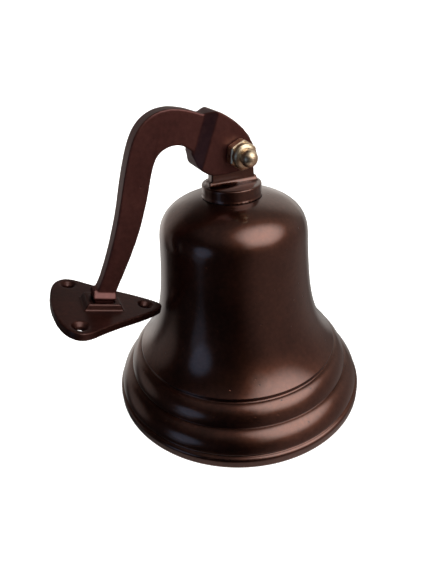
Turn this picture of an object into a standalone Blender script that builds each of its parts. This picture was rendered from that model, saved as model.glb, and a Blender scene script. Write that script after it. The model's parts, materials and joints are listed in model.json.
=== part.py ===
"""Wall mounted bell: a bronze bell on a curved wall bracket, with its clapper.

The bell stands on its mouth at z = 0 with its axis upright. The bracket is swung down about
the pivot bolt, whose axis is along Y, until the tip of its wall plate leans on the bell's
waist. The origin is under the middle of the whole object, so the bell's axis is a little to
the +X side of it. The bracket is drawn in its own wall frame: the pivot at the origin, X out
from the wall and Z up the wall. That frame is then turned by the lean angle.
"""
import math

import bmesh
import bpy
from mathutils import Matrix

MM = 0.001
GAP = 0.3 * MM                 # left between two pieces that touch
MERGE = 0.01 * MM
BELL_X = 13.5 * MM             # the bell's axis, from the middle of the whole object

# The bell's outside
MOUTH_RADIUS = 76.0 * MM
LIP_HEIGHT = 6.4 * MM
LIP_THICKNESS = 5.2 * MM
LOWER_BEAD_RADIUS = 74.4 * MM
LOWER_BEAD_BASE = 7.7 * MM
LOWER_BEAD_TOP = 18.3 * MM
UPPER_BEAD_RADIUS = 66.7 * MM
UPPER_BEAD_BASE = 19.5 * MM
UPPER_BEAD_TOP = 29.9 * MM
BEAD_UNDERCUT = 0.6 * MM       # how far each groove goes in under the bead above it
BEAD_FULLNESS = 1.25           # 1 is a quarter ellipse, more is flatter
STEP_HEIGHT = 2.5 * MM         # plain band between the upper bead and the waist
FLARE_WIDTH = 16.2 * MM        # how far the flare stands out at the waist's lower end
FLARE_LENGTH = 17.3 * MM       # height over which the flare dies away
WAIST_RADIUS = 40.55 * MM      # at the shoulder line
WAIST_TAPER = 0.041            # radius gained for each unit of height lost
SHOULDER_LINE = 100.0 * MM
SHOULDER_HEIGHT = 23.3 * MM
SHOULDER_POWER = 2.7
CROWN_SEAT_RADIUS = 16.6 * MM

# The bell's inside
WALL = 3.2 * MM
CROWN_WALL = 4.2 * MM
CEILING_RADIUS = 15.0 * MM

# Hanger lug: collar on the crown, tongue above it, threaded spigot below it
COLLAR_RADIUS = 15.8 * MM
COLLAR_FOOT = 0.5 * MM         # extra radius at the collar's foot
COLLAR_HEIGHT = 6.4 * MM
PIVOT_ABOVE_COLLAR = 17.0 * MM
TONGUE_HALF_WIDTH = 12.1 * MM
TONGUE_ROOT_FLARE = 2.7 * MM
TONGUE_TOP_RADIUS = 11.0 * MM
TONGUE_THICKNESS = 5.6 * MM
TONGUE_ROOT_FILLET = 2.4 * MM  # on the tongue's two faces
SPIGOT_RADIUS = 5.0 * MM
SPIGOT_LENGTH = 17.6 * MM

# Pivot bolt, its washer and its cap nut
BOLT_RADIUS = 4.0 * MM
HEX_FLATS = 13.0 * MM          # across the flats, bolt head and cap nut
BOLT_HEAD_HEIGHT = 5.3 * MM
BOLT_WASHER_RADIUS = 8.0 * MM
BOLT_WASHER_THICKNESS = 1.6 * MM
CAP_HEX_HEIGHT = 5.6 * MM
CAP_DOME_RADIUS = 6.2 * MM
CAP_DOME_SIDE = 1.1 * MM       # upright side of the dome, above the hexagon
CAP_DOME_HEIGHT = 3.2 * MM
CAP_NECK_RADIUS = 3.3 * MM
CAP_BALL_RADIUS = 4.1 * MM
BOLT_END_COVER = 0.6 * MM      # from the bolt's end to the foot of the dome

# Bracket, in its wall frame
TIP_CLEARANCE = 1.4 * MM       # left between the leaning plate's square tip and the waist
WALL_REACH = 89.4 * MM         # pivot to the front face of the wall plate
ARM_THICKNESS = 10.0 * MM      # at the bend
ARM_FOOT_THICKNESS = 7.2 * MM  # where it meets the foot's flare
ARM_TAPER_START = 20.0 * MM    # distances from the pivot towards the wall
ARM_TAPER_END = 80.0 * MM
ARM_EDGE = 1.3 * MM            # rounding of the arm's long edges
HEAD_THICKNESS = 19.0 * MM
HEAD_TIP_RADIUS = 8.8 * MM
RAMP_TOP = 20.4 * MM           # height where the head's ramps run out into the arm
RAMP_HEIGHT = 4.8 * MM
RAMP_TILT = math.radians(4.3)
SLOT_DEPTH_ABOVE_PIVOT = 12.4 * MM

# The arm's foot: a flared shoulder above a narrower tenon that stands in the plate's boss
FOOT_LOW = 46.9 * MM           # heights of the shoulder above the pivot
FOOT_HIGH = 58.7 * MM
FOOT_HALF_WIDTH = 5.8 * MM
FOOT_FLARE_TOP = 8.2 * MM      # distances from the wall plate's front face
FOOT_FLARE_BOTTOM = 5.9 * MM
FOOT_UNDERSIDE = 5.2 * MM
TENON_INSET = 1.0 * MM         # on each side of the shoulder

# Wall plate
PLATE_THICKNESS = 4.2 * MM
PLATE_EDGE = 1.2 * MM
HOLES_HEIGHT = 54.4 * MM       # middle of the three holes, above the pivot
TIP_DROP = 35.0 * MM           # the plate's tip, below the middle of the holes
HOLE_CIRCLE_RADIUS = 25.4 * MM
HOLE_RADIUS = 2.3 * MM
COUNTERSINK_RADIUS = 4.4 * MM
COUNTERSINK_DEPTH = 2.1 * MM
BOSS_HEIGHT = 3.4 * MM
BOSS_SIDE_SLOPE = 0.9 * MM     # how far each side of the boss leans in
BOSS_END_SLOPE = 2.4 * MM
BOSS_SIDE_RIM = 1.7 * MM       # left beside the socket at the boss's top
BOSS_END_RIM = 2.9 * MM        # left above and below the socket
SOCKET_DEPTH = 1.2 * MM
SOCKET_CLEARANCE = 0.5 * MM
ARM_SCREW_RADIUS = 1.5 * MM
ARM_SCREW_HEAD_RADIUS = 2.8 * MM
ARM_SCREW_HEAD_HEIGHT = 1.6 * MM
ARM_SCREW_LENGTH = 12.0 * MM
ARM_SCREW_SPREAD = 3.2 * MM     # each side of the foot's middle

# Fixings under the crown
FIBRE_WASHER_RADIUS = 13.0 * MM
FIBRE_WASHER_THICKNESS = 1.0 * MM
CROWN_WASHER_RADIUS = 11.0 * MM
CROWN_WASHER_THICKNESS = 1.6 * MM
CROWN_NUT_FLATS = 17.0 * MM
CROWN_NUT_HEIGHT = 8.0 * MM
EYE_SCREW_RADIUS = 2.5 * MM
EYE_SCREW_DEPTH = 11.0 * MM     # inside the spigot
LOCK_NUT_FLATS = 8.0 * MM
LOCK_NUT_HEIGHT = 3.0 * MM

# Clapper
EYE_RING_RADIUS = 5.0 * MM      # to the middle of the wire
EYE_WIRE_RADIUS = 1.6 * MM
SHANK_INTO_RING = 0.43 * MM     # past the middle of the wire
EYE_DROP = 10.2 * MM            # spigot end to the middle of the eye
LINK_RING_RADIUS = 6.0 * MM
LINK_WIRE_RADIUS = 1.5 * MM
ROD_RADIUS = 2.5 * MM
ROD_END_HEIGHT = 1.4 * MM       # above the mouth
BALL_RADIUS = 10.0 * MM
BALL_HEIGHT = 19.5 * MM
BALL_NUT_HEIGHT = 4.0 * MM
LANYARD_HOLE_RADIUS = 1.0 * MM
LANYARD_HOLE_HEIGHT = 3.4 * MM

# Heights worked out from the sizes above
WAIST_FOOT = UPPER_BEAD_TOP + STEP_HEIGHT
EYE_SCREW_BORE = EYE_SCREW_RADIUS + GAP
BOLT_BORE = BOLT_RADIUS + GAP
SPIGOT_BORE = SPIGOT_RADIUS + GAP
HALF_HEAD = HEAD_THICKNESS / 2
HOLE_PLACES = [(HOLE_CIRCLE_RADIUS * math.cos(math.radians(a)),
                HOLES_HEIGHT + HOLE_CIRCLE_RADIUS * math.sin(math.radians(a)))
               for a in (30, 150, 270)]
TURN_STEPS = 56


def bell_radius(z, wall=0.0, crown_wall=0.0):
    """Radius of the waist and shoulder at height z, drawn in by a wall thickness."""
    taper = WAIST_RADIUS + WAIST_TAPER * (SHOULDER_LINE - z)
    flare = FLARE_WIDTH * math.exp(-(z - WAIST_FOOT) / FLARE_LENGTH)
    rise = max(0.0, z - SHOULDER_LINE) / (SHOULDER_HEIGHT - crown_wall)
    cap = max(0.0, 1.0 - rise ** SHOULDER_POWER) ** (1.0 / SHOULDER_POWER)
    return (taper + flare - wall) * cap


def shoulder_top(radius, wall=0.0, crown_wall=0.0):
    """Height at which the shoulder has come in to a radius."""
    low = SHOULDER_LINE
    high = SHOULDER_LINE + SHOULDER_HEIGHT - crown_wall
    for _ in range(40):
        middle = (low + high) / 2
        if bell_radius(middle, wall, crown_wall) > radius:
            low = middle
        else:
            high = middle
    return low


CROWN_SEAT = shoulder_top(CROWN_SEAT_RADIUS)
CEILING = shoulder_top(CEILING_RADIUS, WALL, CROWN_WALL)
COLLAR_BASE = CROWN_SEAT + GAP
COLLAR_TOP = COLLAR_BASE + COLLAR_HEIGHT
PIVOT_HEIGHT = COLLAR_TOP + PIVOT_ABOVE_COLLAR
SPIGOT_END = COLLAR_BASE - SPIGOT_LENGTH
EYE_HEIGHT = SPIGOT_END - EYE_DROP
LINK_AXIS_HEIGHT = EYE_HEIGHT - EYE_RING_RADIUS
LINK_HEIGHT = LINK_AXIS_HEIGHT + EYE_WIRE_RADIUS + LINK_WIRE_RADIUS + GAP - LINK_RING_RADIUS
ROD_AXIS_HEIGHT = LINK_HEIGHT - LINK_RING_RADIUS
ROD_EYE_HEIGHT = ROD_AXIS_HEIGHT + LINK_WIRE_RADIUS + EYE_WIRE_RADIUS + GAP - EYE_RING_RADIUS


def tip_gap(lean):
    """Least distance, level with the tip, between the leaning plate's tip and the bell."""
    height = HOLES_HEIGHT - TIP_DROP
    gaps = []
    for share in (0.0, 0.5, 1.0):
        reach = WALL_REACH + share * PLATE_THICKNESS
        out = reach * math.cos(lean) + height * math.sin(lean)
        level = PIVOT_HEIGHT - reach * math.sin(lean) + height * math.cos(lean)
        gaps.append(out - bell_radius(level))
    return min(gaps)


def lean_angle():
    """The turn from the wall position that brings the plate's tip to the bell's waist."""
    low = math.radians(45)
    high = math.radians(90)
    for _ in range(40):
        middle = (low + high) / 2
        if tip_gap(middle) > TIP_CLEARANCE:
            low = middle
        else:
            high = middle
    return low


LEAN = lean_angle()

for old in list(bpy.data.objects):
    bpy.data.objects.remove(old, do_unlink=True)
parts = bpy.data.collections.new("wall_mounted_bell")
cutters = bpy.data.collections.new("cutters")
bpy.context.scene.collection.children.link(parts)
bpy.context.scene.collection.children.link(cutters)


def metal(name, colour, roughness, metallic=1.0):
    """A material with one Principled BSDF."""
    material = bpy.data.materials.new(name)
    material.use_nodes = True
    shader = material.node_tree.nodes["Principled BSDF"]
    shader.inputs["Base Color"].default_value = (*colour, 1.0)
    shader.inputs["Roughness"].default_value = roughness
    shader.inputs["Metallic"].default_value = metallic
    return material


def frame(name, height, turn=0.0):
    """An empty on a joint's axis."""
    empty = bpy.data.objects.new(name, None)
    empty.location = (BELL_X, 0.0, height)
    empty.rotation_euler = (0.0, turn, 0.0)
    parts.objects.link(empty)
    return empty


bracket_frame = frame("bracket_frame", PIVOT_HEIGHT, -LEAN)
bell_frame = frame("bell_frame", PIVOT_HEIGHT)
link_frame = frame("link_frame", LINK_AXIS_HEIGHT)
rod_frame = frame("rod_frame", ROD_AXIS_HEIGHT)


def place(obj, holder, collection=parts):
    """Parent a piece to its frame. Bracket pieces are drawn from the pivot, others from z = 0."""
    collection.objects.link(obj)
    obj.parent = holder
    if holder != bracket_frame:
        obj.location = (0.0, 0.0, -holder.location.z)
    return obj


def mesh_object(name, bm):
    """An object that holds a bmesh."""
    mesh = bpy.data.meshes.new(name)
    bm.to_mesh(mesh)
    bm.free()
    return bpy.data.objects.new(name, mesh)


def turned(name, profile, closed=False, steps=TURN_STEPS):
    """A profile of (radius, height) points, top to bottom, turned about Z."""
    mesh = bpy.data.meshes.new(name)
    edges = [(i, i + 1) for i in range(len(profile) - 1)]
    if closed:
        edges.append((len(profile) - 1, 0))
    mesh.from_pydata([(r, 0.0, z) for r, z in profile], edges, [])
    obj = bpy.data.objects.new(name, mesh)
    screw = obj.modifiers.new("turn", "SCREW")
    screw.steps = steps
    screw.render_steps = steps
    screw.use_merge_vertices = True
    screw.merge_threshold = MERGE
    return obj


def rounded(obj, width, segments=2):
    """Round the sharp edges of an object."""
    bevel = obj.modifiers.new("round", "BEVEL")
    bevel.width = width
    bevel.segments = segments
    bevel.limit_method = "ANGLE"
    bevel.angle_limit = math.radians(40)
    return obj


def flat(name, outline, thickness, turn):
    """A closed outline filled and thickened, as a mesh turned into place."""
    curve = bpy.data.curves.new(name, "CURVE")
    curve.dimensions = "2D"
    curve.fill_mode = "BOTH"
    curve.extrude = thickness / 2
    spline = curve.splines.new("POLY")
    spline.points.add(len(outline) - 1)
    for point, (u, v) in zip(spline.points, outline):
        point.co = (u, v, 0.0, 1.0)
    spline.use_cyclic_u = True
    drawn = bpy.data.objects.new(name, curve)
    bpy.context.scene.collection.objects.link(drawn)
    bpy.context.view_layer.update()
    evaluated = drawn.evaluated_get(bpy.context.evaluated_depsgraph_get())
    mesh = bpy.data.meshes.new_from_object(evaluated)
    bpy.data.objects.remove(drawn, do_unlink=True)
    bm = bmesh.new()
    bm.from_mesh(mesh)
    bmesh.ops.remove_doubles(bm, verts=bm.verts, dist=MERGE)
    bmesh.ops.transform(bm, matrix=turn, verts=bm.verts)
    bmesh.ops.recalc_face_normals(bm, faces=bm.faces)
    return mesh_object(name, bm)


def bar(name, radius, start, end, axis, segments=32):
    """A round or six-sided bar along X, Y or Z between two places on that axis."""
    turns = {
        "X": Matrix.Rotation(math.radians(90), 4, "Y"),
        "Y": Matrix.Rotation(math.radians(-90), 4, "X"),
        "Z": Matrix.Identity(4),
    }
    bm = bmesh.new()
    shift = Matrix.Translation((0.0, 0.0, (start + end) / 2))
    bmesh.ops.create_cone(bm, cap_ends=True, segments=segments, radius1=radius, radius2=radius,
                          depth=end - start, matrix=turns[axis] @ shift)
    return mesh_object(name, bm)


def block(name, low, high):
    """A box between two corners."""
    bm = bmesh.new()
    centre = [(a + b) / 2 for a, b in zip(low, high)]
    size = [b - a for a, b in zip(low, high)]
    matrix = Matrix.Translation(centre) @ Matrix.Diagonal((*size, 1.0))
    bmesh.ops.create_cube(bm, size=1.0, matrix=matrix)
    return mesh_object(name, bm)


def ring(name, radius, wire, height, axis):
    """A round wire ring about an axis through (0, 0, height)."""
    curve = bpy.data.curves.new(name, "CURVE")
    curve.dimensions = "3D"
    curve.bevel_depth = wire
    curve.bevel_resolution = 2
    spline = curve.splines.new("POLY")
    count = 32
    spline.points.add(count - 1)
    for i, point in enumerate(spline.points):
        a = 2 * math.pi * i / count
        u = radius * math.cos(a)
        v = height + radius * math.sin(a)
        point.co = (u, 0.0, v, 1.0) if axis == "Y" else (0.0, u, v, 1.0)
    spline.use_cyclic_u = True
    drawn = bpy.data.objects.new(name, curve)
    bpy.context.scene.collection.objects.link(drawn)
    bpy.context.view_layer.update()
    evaluated = drawn.evaluated_get(bpy.context.evaluated_depsgraph_get())
    mesh = bpy.data.meshes.new_from_object(evaluated)
    bpy.data.objects.remove(drawn, do_unlink=True)
    bm = bmesh.new()
    bm.from_mesh(mesh)
    bmesh.ops.remove_doubles(bm, verts=bm.verts, dist=MERGE)
    bmesh.ops.recalc_face_normals(bm, faces=bm.faces)
    return mesh_object(name, bm)


ALONG_X = Matrix.Rotation(math.radians(90), 4, "Z") @ Matrix.Rotation(math.radians(90), 4, "X")


def combine(obj, tool, operation):
    """Join a helper to a piece, or cut it away."""
    place(tool, obj.parent, cutters)
    tool.hide_render = True
    tool.display_type = "WIRE"
    boolean = obj.modifiers.new(tool.name, "BOOLEAN")
    boolean.operation = operation
    boolean.object = tool
    return obj


def cut(obj, tool):
    return combine(obj, tool, "DIFFERENCE")


def join(obj, tool):
    return combine(obj, tool, "UNION")


def arc(centre_u, centre_v, radius, first, last, count):
    """Points along an arc, in degrees."""
    angles = [math.radians(first + (last - first) * i / (count - 1)) for i in range(count)]
    return [(centre_u + radius * math.cos(a), centre_v + radius * math.sin(a)) for a in angles]


def smooth_line(points, steps=4):
    """A soft line through hand-set points, ends included (Catmull-Rom)."""
    line = []
    padded = [points[0], *points, points[-1]]
    for a, b, c, d in zip(padded, padded[1:], padded[2:], padded[3:]):
        for i in range(steps):
            t = i / steps
            line.append(tuple(
                0.5 * (2 * q + (r - p) * t + (2 * p - 5 * q + 4 * r - s) * t * t
                       + (3 * q - p - 3 * r + s) * t ** 3)
                for p, q, r, s in zip(a, b, c, d)))
    line.append(points[-1])
    return line


def millimetres(points):
    return [(u * MM, v * MM) for u, v in points]


def finish(obj, material, sharp=35):
    """Give a piece its material and smooth shading."""
    obj.data.materials.append(material)
    obj.data.shade_smooth()
    obj.data.set_sharp_from_angle(angle=math.radians(sharp))
    return obj


BRONZE = metal("antique bronze", (0.085, 0.040, 0.032), 0.30)
BRASS = metal("brass", (0.72, 0.56, 0.30), 0.28)
STEEL = metal("zinc plated steel", (0.55, 0.56, 0.58), 0.35)
IRON = metal("dark iron", (0.12, 0.11, 0.10), 0.50)
FIBRE = metal("vulcanised fibre", (0.25, 0.08, 0.05), 0.80, 0.0)


def bead(top_radius, top, base_radius, base, count=7):
    """A convex moulding that leaves flat and comes down to vertical."""
    points = []
    for i in range(count):
        a = math.pi / 2 * i / (count - 1)
        out = math.sin(a) ** BEAD_FULLNESS
        up = max(0.0, math.cos(a)) ** BEAD_FULLNESS
        points.append((top_radius + (base_radius - top_radius) * out, base + (top - base) * up))
    return points


def bell_outside():
    """Profile from the crown's seat down to the lip."""
    count = 9
    points = []
    for i in range(count):
        share = (i / (count - 1)) ** 1.5
        z = CROWN_SEAT + (SHOULDER_LINE - CROWN_SEAT) * share
        points.append((bell_radius(z), z))
    count = 12
    for i in range(1, count + 1):
        z = SHOULDER_LINE + (WAIST_FOOT - SHOULDER_LINE) * (i / count) ** 0.75
        points.append((bell_radius(z), z))
    step_radius = bell_radius(WAIST_FOOT) - BEAD_UNDERCUT
    points.append((step_radius, WAIST_FOOT - STEP_HEIGHT / 3))
    points.append((step_radius, UPPER_BEAD_TOP + STEP_HEIGHT / 6))
    points += bead(step_radius + BEAD_UNDERCUT, UPPER_BEAD_TOP, UPPER_BEAD_RADIUS, UPPER_BEAD_BASE)
    groove = UPPER_BEAD_RADIUS - BEAD_UNDERCUT
    points += bead(groove, LOWER_BEAD_TOP, LOWER_BEAD_RADIUS, LOWER_BEAD_BASE)
    points.append((LOWER_BEAD_RADIUS - BEAD_UNDERCUT, LIP_HEIGHT))
    edge = MOUTH_RADIUS - LOWER_BEAD_RADIUS + BEAD_UNDERCUT
    points += arc(MOUTH_RADIUS - edge, LIP_HEIGHT - edge, edge, 72, 0, 4)
    points.append((MOUTH_RADIUS, 0.5 * MM))
    points.append((MOUTH_RADIUS - 0.5 * MM, 0.0))
    return points


def bell_inside():
    """Profile from the lip up to the ceiling and its bore."""
    lip_inside = MOUTH_RADIUS - LIP_THICKNESS
    waist_inside = bell_radius(WAIST_FOOT, WALL)
    flare_inside = (UPPER_BEAD_RADIUS + LOWER_BEAD_RADIUS) / 2 - 1.35 * LIP_THICKNESS
    points = [(lip_inside, 0.0), (lip_inside - 1.2 * MM, LIP_HEIGHT)]
    points.append((flare_inside, LOWER_BEAD_TOP - 1.0 * MM))
    points.append((waist_inside, WAIST_FOOT + 1.0 * MM))
    count = 10
    for i in range(1, count + 1):
        z = WAIST_FOOT + (SHOULDER_LINE - WAIST_FOOT) * (i / count) ** 1.3
        points.append((bell_radius(z, WALL), z))
    count = 6
    for i in range(1, count + 1):
        z = SHOULDER_LINE + (CEILING - SHOULDER_LINE) * (i / count) ** 0.7
        points.append((bell_radius(z, WALL, CROWN_WALL), z))
    points.append((SPIGOT_BORE, CEILING))
    return points


def make_bell():
    profile = [(SPIGOT_BORE, CROWN_SEAT), *bell_outside(), *bell_inside()]
    bell = turned("bell_shell", profile, closed=True)
    return place(finish(bell, BRONZE), bell_frame)


def make_hanger_lug():
    edge = 0.7 * MM
    profile = [(0.0, COLLAR_TOP)]
    profile += arc(COLLAR_RADIUS - edge, COLLAR_TOP - edge, edge, 90, 0, 4)
    profile.append((COLLAR_RADIUS, COLLAR_BASE + 2 * COLLAR_FOOT))
    profile.append((COLLAR_RADIUS + COLLAR_FOOT, COLLAR_BASE))
    profile.append((SPIGOT_RADIUS, COLLAR_BASE))
    profile.append((SPIGOT_RADIUS, SPIGOT_END))
    profile.append((EYE_SCREW_BORE, SPIGOT_END))
    profile.append((EYE_SCREW_BORE, SPIGOT_END + EYE_SCREW_DEPTH + 2 * GAP))
    profile.append((0.0, SPIGOT_END + EYE_SCREW_DEPTH + 2 * GAP))
    lug = turned("hanger_lug", profile)
    place(finish(lug, BRONZE), bell_frame)

    root = COLLAR_TOP - COLLAR_HEIGHT / 2
    flare = TONGUE_ROOT_FLARE
    half = arc(0.0, PIVOT_HEIGHT, TONGUE_TOP_RADIUS, 90, 0, 9)
    half += arc(TONGUE_HALF_WIDTH + flare, COLLAR_TOP + flare, flare, 180, 270, 5)
    half.append((TONGUE_HALF_WIDTH + flare, root))
    outline = half + [(-x, z) for x, z in reversed(half) if x > MERGE]
    tongue = flat("tongue", outline, TONGUE_THICKNESS, Matrix.Rotation(math.radians(90), 4, "X"))
    join(lug, rounded(tongue, 0.5 * MM, 1))
    face = TONGUE_THICKNESS / 2
    fillet = TONGUE_ROOT_FILLET
    half = arc(face + fillet, COLLAR_TOP + fillet, fillet, 180, 262, 5)
    half.append((face + fillet, root))
    outline = half + [(-y, z) for y, z in reversed(half)]
    width = 2 * (TONGUE_HALF_WIDTH + flare / 2)
    join(lug, flat("tongue_root", outline, width, ALONG_X))
    half_hole = TONGUE_THICKNESS
    bore = bar("tongue_bore", BOLT_BORE, -half_hole, half_hole, "Y")
    bore.data.transform(Matrix.Translation((0.0, 0.0, PIVOT_HEIGHT)))
    cut(lug, bore)
    return lug


def washer(name, radius, bore, top, thickness, material):
    """A flat washer in the bell, from its top height down."""
    profile = [(bore, top), (radius, top), (radius, top - thickness), (bore, top - thickness)]
    return place(finish(turned(name, profile, closed=True), material), bell_frame)


def hexagon(name, flats, start, end, axis):
    """A six-sided bar, two flats facing along X before it is turned."""
    return bar(name, flats / math.sqrt(3), start, end, axis, 6)


def nut(name, flats, bore, top, height, material, holder):
    """A hexagon nut on the bell's axis, from its top height down."""
    piece = place(hexagon(name, flats, top - height, top, "Z"), holder)
    cut(piece, bar(name + "_bore", bore, top - height - 1 * MM, top + 1 * MM, "Z", 24))
    return finish(piece, material)


def make_crown_fixings():
    top = CEILING - GAP
    washer("fibre_washer", FIBRE_WASHER_RADIUS, SPIGOT_BORE, top, FIBRE_WASHER_THICKNESS, FIBRE)
    top -= FIBRE_WASHER_THICKNESS + GAP
    washer("crown_washer", CROWN_WASHER_RADIUS, SPIGOT_BORE, top, CROWN_WASHER_THICKNESS, STEEL)
    top -= CROWN_WASHER_THICKNESS + GAP
    nut("crown_nut", CROWN_NUT_FLATS, SPIGOT_BORE, top, CROWN_NUT_HEIGHT, STEEL, bell_frame)


def make_eye_screw():
    eye = place(ring("eye_screw", EYE_RING_RADIUS, EYE_WIRE_RADIUS, EYE_HEIGHT, "Y"), bell_frame)
    shank_foot = EYE_HEIGHT + EYE_RING_RADIUS - SHANK_INTO_RING
    join(eye, bar("eye_shank", EYE_SCREW_RADIUS, shank_foot, SPIGOT_END + EYE_SCREW_DEPTH, "Z", 24))
    finish(eye, STEEL)
    nut("eye_lock_nut", LOCK_NUT_FLATS, EYE_SCREW_BORE, SPIGOT_END - GAP, LOCK_NUT_HEIGHT,
        STEEL, bell_frame)


def make_clapper():
    link = ring("clapper_link", LINK_RING_RADIUS, LINK_WIRE_RADIUS, LINK_HEIGHT, "X")
    place(finish(link, STEEL), link_frame)

    rod = place(ring("clapper_rod", EYE_RING_RADIUS, EYE_WIRE_RADIUS, ROD_EYE_HEIGHT, "Y"), rod_frame)
    rod_top = ROD_EYE_HEIGHT - EYE_RING_RADIUS + SHANK_INTO_RING
    join(rod, bar("rod_shank", ROD_RADIUS, ROD_END_HEIGHT, rod_top, "Z", 24))
    hole = bar("lanyard_hole", LANYARD_HOLE_RADIUS, -2 * ROD_RADIUS, 2 * ROD_RADIUS, "Y", 16)
    hole.data.transform(Matrix.Translation((0.0, 0.0, LANYARD_HOLE_HEIGHT)))
    cut(rod, hole)
    finish(rod, STEEL)

    bm = bmesh.new()
    bmesh.ops.create_uvsphere(bm, u_segments=32, v_segments=16, radius=BALL_RADIUS,
                              matrix=Matrix.Translation((0.0, 0.0, BALL_HEIGHT)))
    ball = place(mesh_object("clapper_ball", bm), rod_frame)
    reach = BALL_RADIUS + 1 * MM
    cut(ball, bar("ball_bore", ROD_RADIUS + GAP, BALL_HEIGHT - reach, BALL_HEIGHT + reach, "Z", 24))
    finish(ball, IRON)
    nut("ball_nut", LOCK_NUT_FLATS, ROD_RADIUS + GAP, BALL_HEIGHT - BALL_RADIUS - GAP,
        BALL_NUT_HEIGHT, STEEL, rod_frame)


def arm_outline():
    """The arm seen along the bolt: top edge from the foot round the bend, then back below."""
    flare_top = FOOT_FLARE_TOP - WALL_REACH
    top = smooth_line([
        (flare_top, FOOT_HIGH - 1.6 * MM), *millimetres([
            (-74.0, 55.2), (-60.0, 53.3), (-42.0, 52.1), (-20.0, 52.2), (-5.5, 51.3),
            (3.5, 48.4), (9.6, 43.0), (12.9, 36.0), (13.9, 28.5), (13.7, 22.5)])])
    inside_head = millimetres([(13.0, 12.0), (-6.0, 12.0), (-8.4, 19.6)])
    below = smooth_line(millimetres([
        (-6.2, 20.6), (-4.3, 21.3), (-3.3, 23.4), (-2.4, 26.0), (-2.3, 29.5), (-4.2, 34.2),
        (-8.6, 38.2), (-16.0, 39.6), (-30.0, 39.6), (-45.0, 40.4), (-60.0, 42.6)]))
    below.append((flare_top, FOOT_LOW + 0.3 * MM))
    foot = [(FOOT_UNDERSIDE - WALL_REACH, FOOT_LOW + 1.5 * MM),
            (FOOT_UNDERSIDE - WALL_REACH, FOOT_HIGH - 3.0 * MM)]
    return top + inside_head + below + foot


def head_outline():
    """The forked head seen along the bolt: round tip at the pivot, widening to the arm."""
    right = smooth_line(millimetres([
        (12.6, 22.0), (14.9, 18.2), (16.3, 15.2), (15.9, 12.0), (14.2, 6.2), (11.5, 0.3)]))
    tip = arc(0.0, 0.0, HEAD_TIP_RADIUS, -27, -150, 12)
    left = smooth_line(millimetres([
        (-10.4, 2.0), (-12.2, 7.6), (-12.7, 12.2), (-11.7, 16.2), (-10.0, 18.5), (-8.0, 19.8)]))
    left.append((-5.0 * MM, 22.0 * MM))
    return right + tip + left


def thinned(arm):
    """Thin the arm evenly from its bend to its foot."""
    for vertex in arm.data.vertices:
        share = (-vertex.co.x - ARM_TAPER_START) / (ARM_TAPER_END - ARM_TAPER_START)
        share = min(1.0, max(0.0, share))
        vertex.co.y *= 1.0 - share * (1.0 - ARM_FOOT_THICKNESS / ARM_THICKNESS)
    return arm


def make_foot():
    """The foot seen along the arm's edge, with its tenon, made as one solid."""
    middle = (FOOT_LOW + FOOT_HIGH) / 2
    top = FOOT_FLARE_TOP + ARM_EDGE - WALL_REACH
    side = FOOT_FLARE_BOTTOM - WALL_REACH
    below = FOOT_UNDERSIDE - WALL_REACH
    half_arm = ARM_FOOT_THICKNESS / 2 - ARM_EDGE / 2
    plan = [(below, -FOOT_HALF_WIDTH), (side, -FOOT_HALF_WIDTH), (top, -half_arm)]
    plan += [(x, -y) for x, y in reversed(plan)]
    shoulder = flat("foot", plan, FOOT_HIGH - FOOT_LOW, Matrix.Translation((0.0, 0.0, middle)))
    bottom = BOSS_HEIGHT - SOCKET_DEPTH + GAP - WALL_REACH
    half_tenon = FOOT_HALF_WIDTH - TENON_INSET
    tenon = block("tenon", (bottom, -half_tenon, FOOT_LOW + TENON_INSET),
                  (below + 1 * MM, half_tenon, FOOT_HIGH - TENON_INSET))
    return rounded(shoulder, 0.4 * MM, 1), tenon


def make_bracket_arm():
    upright = Matrix.Rotation(math.radians(90), 4, "X")
    arm = thinned(flat("bracket_arm", arm_outline(), ARM_THICKNESS, upright))
    place(rounded(arm, ARM_EDGE), bracket_frame)

    head = flat("head", head_outline(), HEAD_THICKNESS, upright)
    join(arm, rounded(head, ARM_EDGE))
    # each ramp runs from the arm's side at its top out to the cheek's face
    half_arm = ARM_THICKNESS / 2
    run = HALF_HEAD - half_arm
    over = 3 * MM
    outer = HALF_HEAD + over
    for side, name in ((-1, "near_ramp"), (1, "far_ramp")):
        corners = [(half_arm, 0.0), (outer, -RAMP_HEIGHT * (run + over) / run), (outer, over),
                   (half_arm, over)]
        wedge = flat(name, [(side * y, z) for y, z in corners], 60 * MM,
                     Matrix.Rotation(RAMP_TILT, 4, "Y") @ ALONG_X)
        wedge.data.transform(Matrix.Translation((4 * MM, 0.0, RAMP_TOP)))
        cut(arm, wedge)

    shoulder, tenon = make_foot()
    join(arm, shoulder)
    join(arm, tenon)

    slot_half = TONGUE_THICKNESS / 2 + GAP
    reach = 30 * MM
    cut(arm, block("slot", (-reach, -slot_half, -reach), (reach, slot_half, SLOT_DEPTH_ABOVE_PIVOT)))
    cut(arm, bar("cheek_bore", BOLT_BORE, -reach, reach, "Y"))
    back = -WALL_REACH - PLATE_THICKNESS
    for z, name in arm_screw_places():
        hole = bar(name + "_tapping", ARM_SCREW_RADIUS + GAP, back,
                   back + ARM_SCREW_LENGTH + 2 * GAP, "X", 24)
        hole.data.transform(Matrix.Translation((0.0, 0.0, z)))
        cut(arm, hole)
    return finish(arm, BRONZE, 30)


def arm_screw_places():
    """Heights of the two screws that hold the arm's foot."""
    middle = (FOOT_LOW + FOOT_HIGH) / 2
    return [(middle + ARM_SCREW_SPREAD, "arm_screw_upper"), (middle - ARM_SCREW_SPREAD, "arm_screw_lower")]


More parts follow.
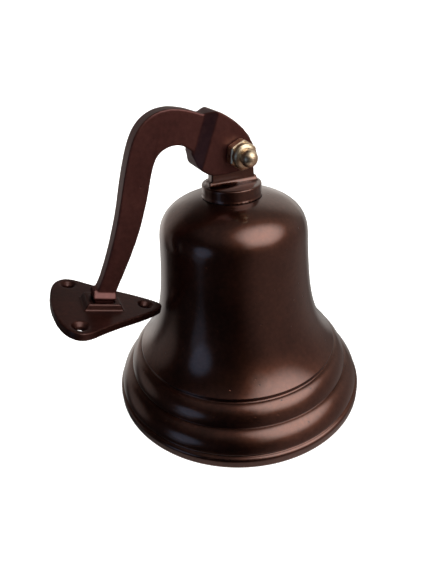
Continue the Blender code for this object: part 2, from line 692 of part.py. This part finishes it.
def plate_outline():
    """The wall plate seen from the front, as (across, height): a rounded triangle, point down."""
    # (height above the middle of the holes, half width)
    half = smooth_line(millimetres([
        (23.8, 0.0), (23.2, 10.0), (21.4, 19.5), (18.0, 26.2), (12.9, 29.4), (7.3, 27.8),
        (0.7, 23.5), (-9.3, 17.8), (-18.8, 12.9), (-25.8, 8.9), (-31.4, 5.0),
        (-34.3, 2.4)]) + [(-TIP_DROP, 0.0)], 3)
    points = [(y, HOLES_HEIGHT + z) for z, y in half]
    return points + [(-y, z) for y, z in reversed(points[1:-1])]


def countersunk_hole(name, y, z, bore, mouth, depth, from_front):
    """A cutter for a hole along X through the plate, opened to a cone on one face.

    It is drawn about Z and carries its own place across and up the plate.
    """
    front = -WALL_REACH
    back = front - PLATE_THICKNESS
    over = 1 * MM
    slope = (mouth - bore) / depth
    if from_front:
        steps = [(0.0, front + over), (mouth + slope * over, front + over), (bore, front - depth),
                 (bore, back - over), (0.0, back - over)]
    else:
        steps = [(0.0, front + BOSS_HEIGHT + over), (bore, front + BOSS_HEIGHT + over),
                 (bore, back + depth), (mouth + slope * over, back - over), (0.0, back - over)]
    cutter = turned(name, steps, steps=32)
    cutter.rotation_euler = (0.0, math.radians(90), 0.0)
    cutter.location = (0.0, y, z)
    return cutter


def make_wall_plate():
    middle = Matrix.Translation((-WALL_REACH - PLATE_THICKNESS / 2, 0.0, 0.0))
    plate = flat("wall_plate", plate_outline(), PLATE_THICKNESS, middle @ ALONG_X)
    place(rounded(plate, PLATE_EDGE), bracket_frame)

    loose = SOCKET_CLEARANCE - TENON_INSET
    half_socket = FOOT_HALF_WIDTH + loose
    low = FOOT_LOW - loose
    high = FOOT_HIGH + loose
    half_boss = half_socket + BOSS_SIDE_RIM + BOSS_SIDE_SLOPE
    end = BOSS_END_RIM + BOSS_END_SLOPE
    boss = block("boss", (-WALL_REACH - 1 * MM, -half_boss, low - end),
                 (-WALL_REACH + BOSS_HEIGHT, half_boss, high + end))
    centre = (low + high) / 2
    for vertex in boss.data.vertices:
        if vertex.co.x > -WALL_REACH:
            vertex.co.y -= math.copysign(BOSS_SIDE_SLOPE, vertex.co.y)
            vertex.co.z -= math.copysign(BOSS_END_SLOPE, vertex.co.z - centre)
    join(plate, boss)
    cut(plate, block("socket", (-WALL_REACH + BOSS_HEIGHT - SOCKET_DEPTH, -half_socket, low),
                     (-WALL_REACH + BOSS_HEIGHT + 5 * MM, half_socket, high)))

    for number, (y, z) in enumerate(HOLE_PLACES, 1):
        name = f"wall_hole_{number}"
        cut(plate, countersunk_hole(name, y, z, HOLE_RADIUS, COUNTERSINK_RADIUS,
                                    COUNTERSINK_DEPTH, True))
    for z, name in arm_screw_places():
        cut(plate, countersunk_hole(name + "_seat", 0.0, z, ARM_SCREW_RADIUS + GAP,
                                    ARM_SCREW_HEAD_RADIUS + GAP,
                                    ARM_SCREW_HEAD_HEIGHT + GAP, False))
    return finish(plate, BRONZE, 30)


def make_arm_screws():
    back = -WALL_REACH - PLATE_THICKNESS
    for z, name in arm_screw_places():
        profile = [(0.0, back + ARM_SCREW_LENGTH), (ARM_SCREW_RADIUS, back + ARM_SCREW_LENGTH),
                   (ARM_SCREW_RADIUS, back + ARM_SCREW_HEAD_HEIGHT),
                   (ARM_SCREW_HEAD_RADIUS, back + 0.2 * MM), (0.0, back + 0.2 * MM)]
        screw = turned(name, profile, steps=24)
        place(finish(screw, STEEL), bracket_frame)
        screw.rotation_euler = (0.0, math.radians(90), 0.0)
        screw.location = (0.0, 0.0, z)


def make_pivot_bolt():
    head_start = HALF_HEAD + BOLT_WASHER_THICKNESS + 2 * GAP
    bolt_end = -HALF_HEAD - GAP - CAP_HEX_HEIGHT + BOLT_END_COVER
    bolt = place(bar("pivot_bolt", BOLT_RADIUS, bolt_end, head_start + 1 * MM, "Y"), bracket_frame)
    head = hexagon("bolt_head", HEX_FLATS, head_start, head_start + BOLT_HEAD_HEIGHT, "Y")
    join(bolt, rounded(head, 0.4 * MM, 1))
    finish(bolt, BRASS)

    plain = bar("bolt_washer", BOLT_WASHER_RADIUS, HALF_HEAD + GAP,
                HALF_HEAD + GAP + BOLT_WASHER_THICKNESS, "Y", 48)
    place(plain, bracket_frame)
    cut(plain, bar("washer_bore", BOLT_BORE, HALF_HEAD - 1 * MM, HALF_HEAD + 5 * MM, "Y"))
    finish(plain, BRASS)


def make_cap_nut():
    seat = HALF_HEAD + GAP
    dome = seat + CAP_HEX_HEIGHT
    neck = dome + CAP_DOME_HEIGHT
    neck_angle = math.acos(CAP_NECK_RADIUS / CAP_BALL_RADIUS)
    ball_centre = neck + CAP_BALL_RADIUS * math.sin(neck_angle)
    # turned about Z with the ball uppermost, then laid along -Y
    profile = arc(0.0, ball_centre, CAP_BALL_RADIUS, 90, -math.degrees(neck_angle), 12)
    profile[0] = (0.0, ball_centre + CAP_BALL_RADIUS)
    rise = CAP_DOME_HEIGHT - CAP_DOME_SIDE
    for degrees in (90, 70, 50, 30, 12, 0):
        angle = math.radians(degrees)
        out = CAP_NECK_RADIUS + 0.3 * MM
        profile.append((out + (CAP_DOME_RADIUS - out) * math.cos(angle),
                        dome + CAP_DOME_SIDE + rise * math.sin(angle)))
    profile += [(CAP_DOME_RADIUS, dome - 0.6 * MM), (0.0, dome - 0.6 * MM)]
    cap = turned("cap_nut", profile, steps=32)
    place(cap, bracket_frame)
    cap.rotation_euler = (math.radians(90), 0.0, 0.0)
    body = hexagon("cap_hexagon", HEX_FLATS, seat, dome, "Z")
    body.data.transform(Matrix.Rotation(LEAN + math.radians(30), 4, "Z"))
    join(cap, rounded(body, 0.6 * MM, 1))
    body.rotation_euler = cap.rotation_euler
    bore = bar("cap_bore", BOLT_BORE, seat - 1 * MM, dome - BOLT_END_COVER + GAP, "Z")
    cut(cap, bore)
    bore.rotation_euler = cap.rotation_euler
    return finish(cap, BRASS)


make_wall_plate()
make_bracket_arm()
make_arm_screws()
make_pivot_bolt()
make_cap_nut()
make_bell()
make_hanger_lug()
make_crown_fixings()
make_eye_screw()
make_clapper()
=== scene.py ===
# Wall mounted bell: looks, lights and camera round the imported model.
import json

import bmesh
import bpy
import numpy as np
from mathutils import Matrix, Vector


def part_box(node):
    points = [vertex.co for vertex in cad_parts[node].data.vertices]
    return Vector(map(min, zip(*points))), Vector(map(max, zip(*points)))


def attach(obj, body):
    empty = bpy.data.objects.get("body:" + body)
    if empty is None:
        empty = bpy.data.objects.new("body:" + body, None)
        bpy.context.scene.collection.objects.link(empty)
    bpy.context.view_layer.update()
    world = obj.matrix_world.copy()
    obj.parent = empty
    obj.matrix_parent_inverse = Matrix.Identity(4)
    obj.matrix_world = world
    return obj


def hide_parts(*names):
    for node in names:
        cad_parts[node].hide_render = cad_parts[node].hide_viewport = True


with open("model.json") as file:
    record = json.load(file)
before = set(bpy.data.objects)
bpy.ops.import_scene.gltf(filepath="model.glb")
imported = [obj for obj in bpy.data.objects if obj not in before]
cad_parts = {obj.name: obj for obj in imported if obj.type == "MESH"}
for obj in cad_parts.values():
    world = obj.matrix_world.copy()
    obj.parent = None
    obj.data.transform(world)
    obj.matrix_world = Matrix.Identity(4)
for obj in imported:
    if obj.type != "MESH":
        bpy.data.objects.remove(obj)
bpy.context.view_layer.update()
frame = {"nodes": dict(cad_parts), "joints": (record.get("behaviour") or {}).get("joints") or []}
print("frame loaded:", len(frame["nodes"]), "nodes")

mm = 0.001
bellAxisX = frame["joints"][0]["pos_m"][0]  # the bell stands upright on this x


# A material with its output and one Principled shader.
def newMaterial(name):
    material = bpy.data.materials.new(name)
    material.use_nodes = True
    tree = material.node_tree
    tree.nodes.clear()
    output = tree.nodes.new("ShaderNodeOutputMaterial")
    shader = tree.nodes.new("ShaderNodeBsdfPrincipled")
    tree.links.new(shader.outputs["BSDF"], output.inputs["Surface"])
    return material, tree, shader


# One node with its settings: an input that is another node's socket is linked to it.
def addNode(tree, kind, inputs=None, **settings):
    node = tree.nodes.new(kind)
    for key, value in settings.items():
        setattr(node, key, value)
    for key, value in (inputs or {}).items():
        if isinstance(value, bpy.types.NodeSocket):
            tree.links.new(value, node.inputs[key])
        else:
            node.inputs[key].default_value = value
    return node


# A colour for each value from 0 to 1: stops are (position, colour).
def ramp(tree, source, stops):
    node = tree.nodes.new("ShaderNodeValToRGB")
    elements = node.color_ramp.elements
    for position, colour in stops[2:]:
        elements.new(position)
    for element, (position, colour) in zip(elements, stops):
        element.position = position
        element.color = (*colour, 1.0)
    tree.links.new(source, node.inputs["Fac"])
    return node.outputs["Color"]


# Fractal noise, about 0.5 on average.
def noise(tree, place, scale, detail=3.0, roughness=0.5):
    inputs = {"Scale": scale, "Detail": detail, "Roughness": roughness, "Vector": place}
    return addNode(tree, "ShaderNodeTexNoise", inputs).outputs["Fac"]


# Roughness that goes from low to high as the noise goes from 0.3 to 0.7.
def patchyRoughness(tree, source, shader, look):
    inputs = {"Value": source, "From Min": 0.3, "From Max": 0.7,
              "To Min": look["roughLow"], "To Max": look["roughHigh"]}
    rough = addNode(tree, "ShaderNodeMapRange", inputs)
    tree.links.new(rough.outputs["Result"], shader.inputs["Roughness"])


# Relief from a height, laid over the relief that is passed in.
def relief(tree, height, strength, distance, under=None):
    inputs = {"Strength": strength, "Distance": distance, "Height": height}
    if under is not None:
        inputs["Normal"] = under
    return addNode(tree, "ShaderNodeBump", inputs).outputs["Normal"]


# Cast metal under a toned lacquer: a cloudy tone times a fine fleck, and three reliefs, which
# are shallow pits, a slow swell and the fine skin of the casting.
def makeBronze(name, look):
    material, tree, shader = newMaterial(name)
    place = addNode(tree, "ShaderNodeTexCoord").outputs["Object"]
    cloud = noise(tree, place, look["cloudScale"], 4.0, 0.55)
    tone = ramp(tree, cloud, [(0.28, look["dark"]), (0.5, look["mid"]), (0.74, look["warm"])])
    grain = noise(tree, place, look["grainScale"], 5.0, 0.6)
    fleck = ramp(tree, grain, [(0.35, look["fleckDark"]), (0.7, look["fleckLight"])])
    mixed = addNode(tree, "ShaderNodeMix", {"Factor": 1.0}, data_type="RGBA", blend_type="MULTIPLY")
    tree.links.new(tone, mixed.inputs["A"])
    tree.links.new(fleck, mixed.inputs["B"])
    tree.links.new(mixed.outputs["Result"], shader.inputs["Base Color"])
    patchyRoughness(tree, cloud, shader, look)

    waves = noise(tree, place, look["waveScale"], 2.0, 0.4)
    cells = addNode(tree, "ShaderNodeTexVoronoi", {"Vector": place, "Scale": look["pitScale"]})
    inputs = {"Value": cells.outputs["Distance"], "From Min": 0.0, "From Max": look["pitSize"]}
    pit = addNode(tree, "ShaderNodeMapRange", inputs, interpolation_type="SMOOTHSTEP")
    pitted = relief(tree, pit.outputs["Result"], look["pitStrength"], look["pitDrop"])
    swelling = relief(tree, waves, look["swell"], look["swellHeight"], pitted)
    skin = relief(tree, grain, look["skin"], look["skinHeight"], swelling)
    tree.links.new(skin, shader.inputs["Normal"])
    shader.inputs["Metallic"].default_value = look["metallic"]
    shader.inputs["Coat Weight"].default_value = look["coat"]
    shader.inputs["Coat Roughness"].default_value = look["coatRoughness"]
    shader.inputs["Coat IOR"].default_value = look["coatIor"]
    shader.inputs["Specular Tint"].default_value = (*look["edgeTint"], 1.0)
    return material


# Bare or plated metal: a tint in patches, a patchy sheen and a fine grain.
def makeMetal(name, look):
    material, tree, shader = newMaterial(name)
    place = addNode(tree, "ShaderNodeTexCoord").outputs["Object"]
    patches = noise(tree, place, look["patchScale"], 3.0)
    tone = ramp(tree, patches, [(0.3, look["dark"]), (0.7, look["light"])])
    tree.links.new(tone, shader.inputs["Base Color"])
    grain = noise(tree, place, look["grainScale"], 4.0, 0.65)
    patchyRoughness(tree, grain, shader, look)
    tree.links.new(relief(tree, grain, look["bump"], 0.2 * mm), shader.inputs["Normal"])
    shader.inputs["Metallic"].default_value = look["metallic"]
    return material


# The arm's finish. The others of its family differ from it in what they name.
bronzeLook = {
    "dark": (0.104, 0.036, 0.032), "mid": (0.132, 0.047, 0.041), "warm": (0.164, 0.060, 0.051),
    "fleckDark": (0.86, 0.86, 0.86), "fleckLight": (1.12, 1.10, 1.08),
    "cloudScale": 26.0, "grainScale": 420.0, "waveScale": 55.0, "pitScale": 150.0,
    "roughLow": 0.46, "roughHigh": 0.56,
    "skin": 0.12, "skinHeight": 0.4 * mm, "swell": 0.12, "swellHeight": 2.0 * mm,
    "pitStrength": 0.5, "pitDrop": 0.6 * mm, "pitSize": 0.10,
    "metallic": 1.0, "edgeTint": (0.30, 0.20, 0.18),
    "coat": 0.35, "coatRoughness": 0.26, "coatIor": 1.5,
}
bellLook = dict(
    bronzeLook, dark=(0.086, 0.031, 0.020), mid=(0.110, 0.041, 0.026), warm=(0.136, 0.052, 0.033),
    cloudScale=38.0, waveScale=85.0, roughLow=0.27, roughHigh=0.38, skin=0.06, swell=0.10,
    coat=1.0, coatRoughness=0.10, edgeTint=(1.0, 1.0, 1.0))
plateLook = dict(
    bronzeLook, dark=(0.058, 0.022, 0.018), mid=(0.076, 0.029, 0.023), warm=(0.098, 0.038, 0.030))
insideLook = dict(
    bronzeLook, dark=(0.060, 0.024, 0.018), roughLow=0.5, roughHigh=0.65, coat=0.3, skin=0.25)
brassLook = {
    "dark": (0.62, 0.46, 0.30), "light": (0.92, 0.76, 0.54), "patchScale": 320.0,
    "grainScale": 900.0, "roughLow": 0.28, "roughHigh": 0.42, "bump": 0.16, "metallic": 1.0,
}
zincLook = {
    "dark": (0.42, 0.42, 0.42), "light": (0.60, 0.60, 0.59), "patchScale": 240.0,
    "grainScale": 1100.0, "roughLow": 0.28, "roughHigh": 0.45, "bump": 0.10, "metallic": 1.0,
}
ironLook = {
    "dark": (0.035, 0.032, 0.030), "light": (0.070, 0.064, 0.060), "patchScale": 120.0,
    "grainScale": 700.0, "roughLow": 0.42, "roughHigh": 0.62, "bump": 0.25, "metallic": 0.9,
}
fibreLook = {
    "dark": (0.11, 0.028, 0.018), "light": (0.17, 0.050, 0.030), "patchScale": 300.0,
    "grainScale": 1600.0, "roughLow": 0.65, "roughHigh": 0.8, "bump": 0.2, "metallic": 0.0,
}

finishes = {
    "bronze": makeBronze("castBronze", bronzeLook),
    "bell": makeBronze("bellBronze", bellLook),
    "inside": makeBronze("bellInside", insideLook),
    "plate": makeBronze("plateBronze", plateLook),
    "brass": makeMetal("polishedBrass", brassLook),
    "zinc": makeMetal("zincPlate", zincLook),
    "iron": makeMetal("darkIron", ironLook),
    "fibre": makeMetal("redFibre", fibreLook),
}
print("finishes made:", len(finishes))


# A profile turned about an upright axis: x = centre + r cos a, y = r sin a, z = height. Rows run
# along the profile and columns round the axis. A closed profile's last row joins its first.
def turnedSurface(name, radii, heights, steps, centreX, closed):
    angles = np.linspace(0.0, 2.0 * np.pi, steps, endpoint=False)
    x = centreX + radii[:, None] * np.cos(angles)[None, :]
    y = radii[:, None] * np.sin(angles)[None, :]
    z = np.repeat(heights[:, None], steps, axis=1)
    points = np.stack([x, y, z], axis=-1).reshape(-1, 3)
    rows = len(radii)
    row = np.arange(rows if closed else rows - 1)[:, None]
    column = np.arange(steps)[None, :]
    nextRow = (row + 1) % rows
    nextColumn = (column + 1) % steps
    quads = np.stack([row * steps + column, nextRow * steps + column,
                      nextRow * steps + nextColumn, row * steps + nextColumn], axis=-1)
    mesh = bpy.data.meshes.new(name)
    mesh.from_pydata(points.tolist(), [], quads.reshape(-1, 4).tolist())
    mesh.polygons.foreach_set("use_smooth", np.ones(len(mesh.polygons), bool))
    mesh.update()
    piece = bpy.data.objects.new(name, mesh)
    bpy.context.scene.collection.objects.link(piece)
    return piece


# The same polyline with its corners kept and extra points, none further apart than the spacing.
def resampled(points, spacing):
    lengths = np.hypot(*np.diff(points, axis=0).T)
    points = points[np.concatenate([[True], lengths > 0.0001 * mm])]
    along = np.concatenate([[0.0], np.cumsum(np.hypot(*np.diff(points, axis=0).T))])
    count = np.maximum(1, np.ceil(np.diff(along) / spacing).astype(int))
    share = np.concatenate([np.arange(n) / n for n in count])
    between = along[:-1].repeat(count) + share * np.diff(along).repeat(count)
    stations = np.append(between, along[-1])
    return np.stack([np.interp(stations, along, points[:, k]) for k in (0, 1)], axis=1)


bell = {
    "mouthRadius": 76.0 * mm, "lipHeight": 6.4 * mm, "lipThickness": 5.2 * mm,
    "lipFootRounding": 0.5 * mm, "lipInsideLean": 1.2 * mm,
    "lowerBead": (74.4 * mm, 7.7 * mm, 18.3 * mm),  # radius, foot and top
    "upperBead": (66.7 * mm, 19.5 * mm, 29.9 * mm),
    "groove": 0.6 * mm, "beadFullness": 1.25, "band": 2.5 * mm,
    "flareWidth": 16.2 * mm, "flareLength": 17.3 * mm,
    "waistRadius": 40.55 * mm, "waistTaper": 0.041,
    "shoulderLine": 100.0 * mm, "shoulderHeight": 23.3 * mm, "shoulderPower": 2.7,
    "wall": 3.2 * mm, "crownWall": 4.2 * mm,
    "beadWall": 1.35,  # in lip thicknesses
    "insideStep": 1.0 * mm,  # how far the inside's slope starts and ends from the beads' tops
    "bore": 5.3 * mm, "ceilingRadius": 14.0 * mm,
    "steps": 240, "spacing": 0.9 * mm,
}


# Waist radius plus an exponential flare, closed over by a superellipse shoulder:
# (radius + taper * drop + flare * exp(-rise / length) - wall) * (1 - rise^p)^(1/p).
def bellRadius(z, wall=0.0, crownWall=0.0):
    foot = bell["upperBead"][2] + bell["band"]
    taper = bell["waistRadius"] + bell["waistTaper"] * (bell["shoulderLine"] - z)
    flare = bell["flareWidth"] * np.exp(-(z - foot) / bell["flareLength"])
    rise = np.clip((z - bell["shoulderLine"]) / (bell["shoulderHeight"] - crownWall), 0.0, 1.0)
    cap = np.maximum(0.0, 1.0 - rise ** bell["shoulderPower"]) ** (1.0 / bell["shoulderPower"])
    return (taper + flare - wall) * cap


# A convex moulding, flat where it leaves and upright where it ends: the radius grows with a power
# of a quarter turn's sine, and the height falls with the same power of its cosine.
def beadProfile(topRadius, top, baseRadius, base):
    turn = np.linspace(0.0, np.pi / 2, 22)
    out = np.sin(turn) ** bell["beadFullness"]
    up = np.maximum(0.0, np.cos(turn)) ** bell["beadFullness"]
    return np.stack([topRadius + (baseRadius - topRadius) * out, base + (top - base) * up], axis=1)


# An arc of the profile, from one angle to another about (radius, height).
def arcProfile(centreRadius, centreHeight, size, start, end, count):
    turn = np.radians(np.linspace(start, end, count))
    return np.stack([centreRadius + size * np.cos(turn), centreHeight + size * np.sin(turn)], axis=1)


# The wall's section, down the outside from the bore and back up the inside to it.
def bellProfile():
    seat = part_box("bell_shell")[1].z
    ceiling = seat - bell["crownWall"]
    line = bell["shoulderLine"]
    foot = bell["upperBead"][2] + bell["band"]
    upperRadius, upperFoot, upperTop = bell["upperBead"]
    lowerRadius, lowerFoot, lowerTop = bell["lowerBead"]
    groove, lip, lipWall = bell["groove"], bell["lipHeight"], bell["lipThickness"]
    step = bellRadius(foot) - groove

    shoulder = seat + (line - seat) * np.linspace(0.0, 1.0, 60) ** 1.5  # closer at the crown
    outside = np.concatenate([shoulder, np.linspace(line, foot, 90)[1:]])
    rows = [[[bell["bore"], seat]], np.stack([bellRadius(outside), outside], axis=1)]
    rows.append([[step, foot - bell["band"] / 3], [step, upperTop + bell["band"] / 6]])
    rows.append(beadProfile(step + groove, upperTop, upperRadius, upperFoot))
    rows.append(beadProfile(upperRadius - groove, lowerTop, lowerRadius, lowerFoot))
    rows.append([[lowerRadius - groove, lip]])

    edge = bell["mouthRadius"] - lowerRadius + groove  # the lip's rounded top
    rows.append(arcProfile(bell["mouthRadius"] - edge, lip - edge, edge, 72.0, 0.0, 12))
    small = bell["lipFootRounding"]
    rows.append(arcProfile(bell["mouthRadius"] - small, small, small, 0.0, -90.0, 8))

    lipInside = bell["mouthRadius"] - lipWall
    beadMiddle = (upperRadius + lowerRadius) / 2
    slopeTop = foot + bell["insideStep"]
    rows.append([[lipInside, 0.0], [lipInside - bell["lipInsideLean"], lip],
                 [beadMiddle - bell["beadWall"] * lipWall, lowerTop - bell["insideStep"]],
                 [bellRadius(foot, bell["wall"]), slopeTop]])
    inside = np.linspace(slopeTop, line, 60)[1:]
    rows.append(np.stack([bellRadius(inside, bell["wall"]), inside], axis=1))
    upper = line + (ceiling - line) * np.linspace(0.0, 1.0, 40)[1:] ** 0.7  # closer at the ceiling
    upperRadii = np.maximum(bellRadius(upper, bell["wall"], bell["crownWall"]), bell["ceilingRadius"])
    rows.append(np.stack([upperRadii, upper], axis=1))
    rows.append([[bell["bore"], ceiling]])
    return np.concatenate(rows)


# The shell, with the lacquer outside and a duller finish inside, from the lip's lowest row up.
def makeBell():
    profile = resampled(bellProfile(), bell["spacing"])
    # the profile runs down the outside, so its quads face outwards as laid
    piece = turnedSurface("bellShell", profile[:, 0], profile[:, 1], bell["steps"], bellAxisX, True)
    piece.data.materials.append(finishes["bell"])
    piece.data.materials.append(finishes["inside"])
    lipRow = int(np.argmin(profile[:, 1]))
    slots = np.repeat((np.arange(len(profile)) > lipRow).astype(np.int32), bell["steps"])
    piece.data.polygons.foreach_set("material_index", slots)
    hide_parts("bell_shell")
    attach(piece, "bell")


makeBell()
print("bell made")


cast = {
    "bracket_arm": {"body": "bracket", "piece": "bracketArm", "finish": "bronze",
                    "voxel": 0.42 * mm, "soften": 5},
    "wall_plate": {"body": "bracket", "piece": "wallPlate", "finish": "plate",
                   "voxel": 0.42 * mm, "soften": 5},
    "hanger_lug": {"body": "bell", "piece": "hangerLug", "finish": "bell",
                   "voxel": 0.36 * mm, "soften": 3},
}


# A copy of a CAD solid, remeshed in small even faces whose points are then moved half of the way
# to their neighbours' mean a few times, which rounds its edges as a sand casting's are.
def castCopy(node, look):
    piece = bpy.data.objects.new(look["piece"], frame["nodes"][node].data.copy())
    bpy.context.scene.collection.objects.link(piece)
    piece.data.materials.clear()
    weld = piece.modifiers.new("weld", "WELD")
    weld.merge_threshold = 0.01 * mm
    remesh = piece.modifiers.new("skin", "REMESH")
    remesh.mode = "VOXEL"
    remesh.voxel_size = look["voxel"]
    remesh.use_smooth_shade = True
    soften = piece.modifiers.new("soften", "SMOOTH")
    soften.factor = 0.5
    soften.iterations = look["soften"]
    depsgraph = bpy.context.evaluated_depsgraph_get()
    mesh = bpy.data.meshes.new_from_object(piece.evaluated_get(depsgraph))
    piece.modifiers.clear()
    piece.data = mesh
    mesh.materials.clear()
    mesh.materials.append(finishes[look["finish"]])
    mesh.polygons.foreach_set("use_smooth", np.ones(len(mesh.polygons), bool))
    mesh.update()
    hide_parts(node)
    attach(piece, look["body"])
    print(look["piece"], "made:", len(mesh.polygons), "faces")


for node, look in cast.items():
    castCopy(node, look)


# Bolts, nuts, washers and the clapper keep their own shape and get their metal.
fittings = {
    "brass": ["cap_nut", "pivot_bolt", "bolt_washer"],
    "zinc": ["arm_screw_upper", "arm_screw_lower", "crown_washer", "crown_nut", "eye_screw",
             "eye_lock_nut", "clapper_link", "clapper_rod", "ball_nut"],
    "iron": ["clapper_ball"],
    "fibre": ["fibre_washer"],
}
for finish, nodes in fittings.items():
    for node in nodes:
        piece = frame["nodes"][node]
        if not piece.data.materials:
            piece.data.materials.append(None)
        for slot in piece.material_slots:
            slot.material = finishes[finish]
    print(finish, "fittings finished:", len(nodes))


floorLook = {
    "tone": (0.82, 0.815, 0.81), "patch": 0.985, "patchScale": 3.0,
    "glow": (1.0, 0.995, 0.99), "glowStrength": 0.42,
    "middleRadius": 0.02, "flatRadius": 2.4, "coveRadius": 1.6, "wallTop": 5.0, "steps": 96,
}


# A flat disc that curves up into a round wall: a profile turned about the middle. It glows a
# little, and the bell's metal doesn't mirror it.
def makeFloor():
    flat, cove, steps = floorLook["flatRadius"], floorLook["coveRadius"], floorLook["steps"]
    turn = np.linspace(0.0, np.pi / 2, 16)[1:]
    middleRow = [floorLook["middleRadius"], flat]
    radii = np.concatenate([middleRow, flat + cove * np.sin(turn), [flat + cove]])
    heights = np.concatenate([[0.0, 0.0], cove * (1.0 - np.cos(turn)), [floorLook["wallTop"]]])
    floor = turnedSurface("floor", radii[::-1], heights[::-1], steps, 0.0, False)
    built = bmesh.new()
    built.from_mesh(floor.data)
    built.verts.ensure_lookup_table()
    built.faces.new(built.verts[-steps:])  # closes the small hole in the middle
    bmesh.ops.recalc_face_normals(built, faces=built.faces)
    built.to_mesh(floor.data)
    built.free()
    material, tree, shader = newMaterial("paleFloor")
    place = addNode(tree, "ShaderNodeTexCoord").outputs["Object"]
    paper = noise(tree, place, floorLook["patchScale"], 2.0)
    low = tuple(floorLook["patch"] * channel for channel in floorLook["tone"])
    tone = ramp(tree, paper, [(0.3, low), (0.7, floorLook["tone"])])
    tree.links.new(tone, shader.inputs["Base Color"])
    shader.inputs["Roughness"].default_value = 1.0
    shader.inputs["Emission Color"].default_value = (*floorLook["glow"], 1.0)
    shader.inputs["Emission Strength"].default_value = floorLook["glowStrength"]
    floor.data.materials.append(material)
    floor.visible_glossy = False


ceilingPanel = {"place": (-0.3, -0.3, 1.9), "size": 2.4, "energy": 46.0}


# A wide soft light overhead, aimed at the origin, which the metal doesn't mirror.
def makeLight():
    data = bpy.data.lights.new("ceilingPanel", "AREA")
    data.shape = "RECTANGLE"
    data.size = data.size_y = ceilingPanel["size"]
    data.energy = ceilingPanel["energy"]
    light = bpy.data.objects.new("ceilingPanel", data)
    light.location = ceilingPanel["place"]
    light.rotation_euler = (-Vector(ceilingPanel["place"])).to_track_quat("-Z", "Y").to_euler()
    light.visible_glossy = False
    bpy.context.scene.collection.objects.link(light)


cameraLook = {
    "place": (-83.26 * mm, -212.52 * mm, 204.72 * mm), "lens": 28.57, "sensor": 36.0,
    "right": (0.9159, -0.3982, -0.0500), "up": (0.2444, 0.4547, 0.8564),
    "forward": (0.3183, 0.7967, -0.5138),
}


def makeCamera():
    right, up, forward = (Vector(cameraLook[key]) for key in ("right", "up", "forward"))
    turn = Matrix((right, up, -forward)).transposed().to_4x4()
    data = bpy.data.cameras.new("camera")
    data.sensor_width = cameraLook["sensor"]
    data.sensor_fit = "AUTO"
    data.lens = cameraLook["lens"]
    camera = bpy.data.objects.new("camera", data)
    camera.matrix_world = Matrix.Translation(cameraLook["place"]) @ turn
    bpy.context.scene.collection.objects.link(camera)
    bpy.context.scene.camera = camera


# What the lacquer mirrors: soft panels in a dim room, each a direction (turn from +Y towards
# +X, and height, in degrees), an inner and an outer width in degrees, and a light colour.
dimRoom = (0.014, 0.012, 0.012)
panels = {
    "keyPanel": (147.0, 46.0, 12.0, 38.0, (3.0, 3.0, 2.95)),
    "keyEdge": (178.0, 26.0, 3.0, 14.0, (0.60, 0.55, 0.50)),
    "warmGlow": (125.0, -18.0, 25.0, 75.0, (0.25, 0.19, 0.17)),
    "blueWindow": (-110.0, 4.0, 6.0, 17.0, (0.24, 0.38, 0.61)),
    "windowSill": (-104.0, -12.0, 3.0, 13.0, (0.11, 0.16, 0.24)),
    "paleWall": (-12.0, 8.0, 12.0, 34.0, (0.46, 0.43, 0.40)),
    "paleMiddle": (20.0, 4.0, 6.0, 24.0, (0.35, 0.33, 0.31)),
    "paleCorner": (44.0, 18.0, 8.0, 31.0, (0.42, 0.39, 0.36)),
    "paleLeft": (-8.0, -20.0, 8.0, 28.0, (0.45, 0.43, 0.41)),
    "paleRight": (45.0, -12.0, 10.0, 25.0, (0.36, 0.34, 0.32)),
    "paleFar": (-56.0, -3.0, 6.0, 22.0, (0.20, 0.18, 0.17)),
    "floorShine": (0.0, -90.0, 20.0, 46.0, (0.80, 0.70, 0.65)),
    "highLeft": (-130.0, 68.0, 10.0, 45.0, (0.10, 0.09, 0.09)),
    "highRim": (72.0, 40.0, 10.0, 50.0, (0.20, 0.17, 0.15)),
}


# Light = room + sum of colour * smoothstep(cos outer, cos inner, direction . panel's aim).
def makeWorld():
    world = bpy.data.worlds.new("studio")
    world.use_nodes = True
    world.cycles.sampling_method = "NONE"
    tree = world.node_tree
    direction = addNode(tree, "ShaderNodeTexCoord").outputs["Generated"]
    room = dict(enumerate(dimRoom))
    total = addNode(tree, "ShaderNodeCombineXYZ", room).outputs["Vector"]
    for name, (*degrees, colour) in panels.items():
        turn, height, inner, outer = np.radians(degrees)
        aim = (np.sin(turn) * np.cos(height), np.cos(turn) * np.cos(height), np.sin(height))
        facing = addNode(tree, "ShaderNodeVectorMath", {0: direction, 1: aim},
                         operation="DOT_PRODUCT")
        inputs = {"Value": facing.outputs["Value"],
                  "From Min": float(np.cos(outer)), "From Max": float(np.cos(inner))}
        mask = addNode(tree, "ShaderNodeMapRange", inputs, interpolation_type="SMOOTHSTEP")
        inputs = {0: mask.outputs["Result"], 1: colour, 2: total}
        added = addNode(tree, "ShaderNodeVectorMath", inputs, operation="MULTIPLY_ADD", label=name)
        total = added.outputs["Vector"]
    tree.links.new(total, tree.nodes["Background"].inputs["Color"])
    bpy.context.scene.world = world


makeFloor()
makeCamera()
makeWorld()
makeLight()
bpy.context.scene.view_settings.view_transform = "Standard"
print("stage set:", len(panels), "panels")
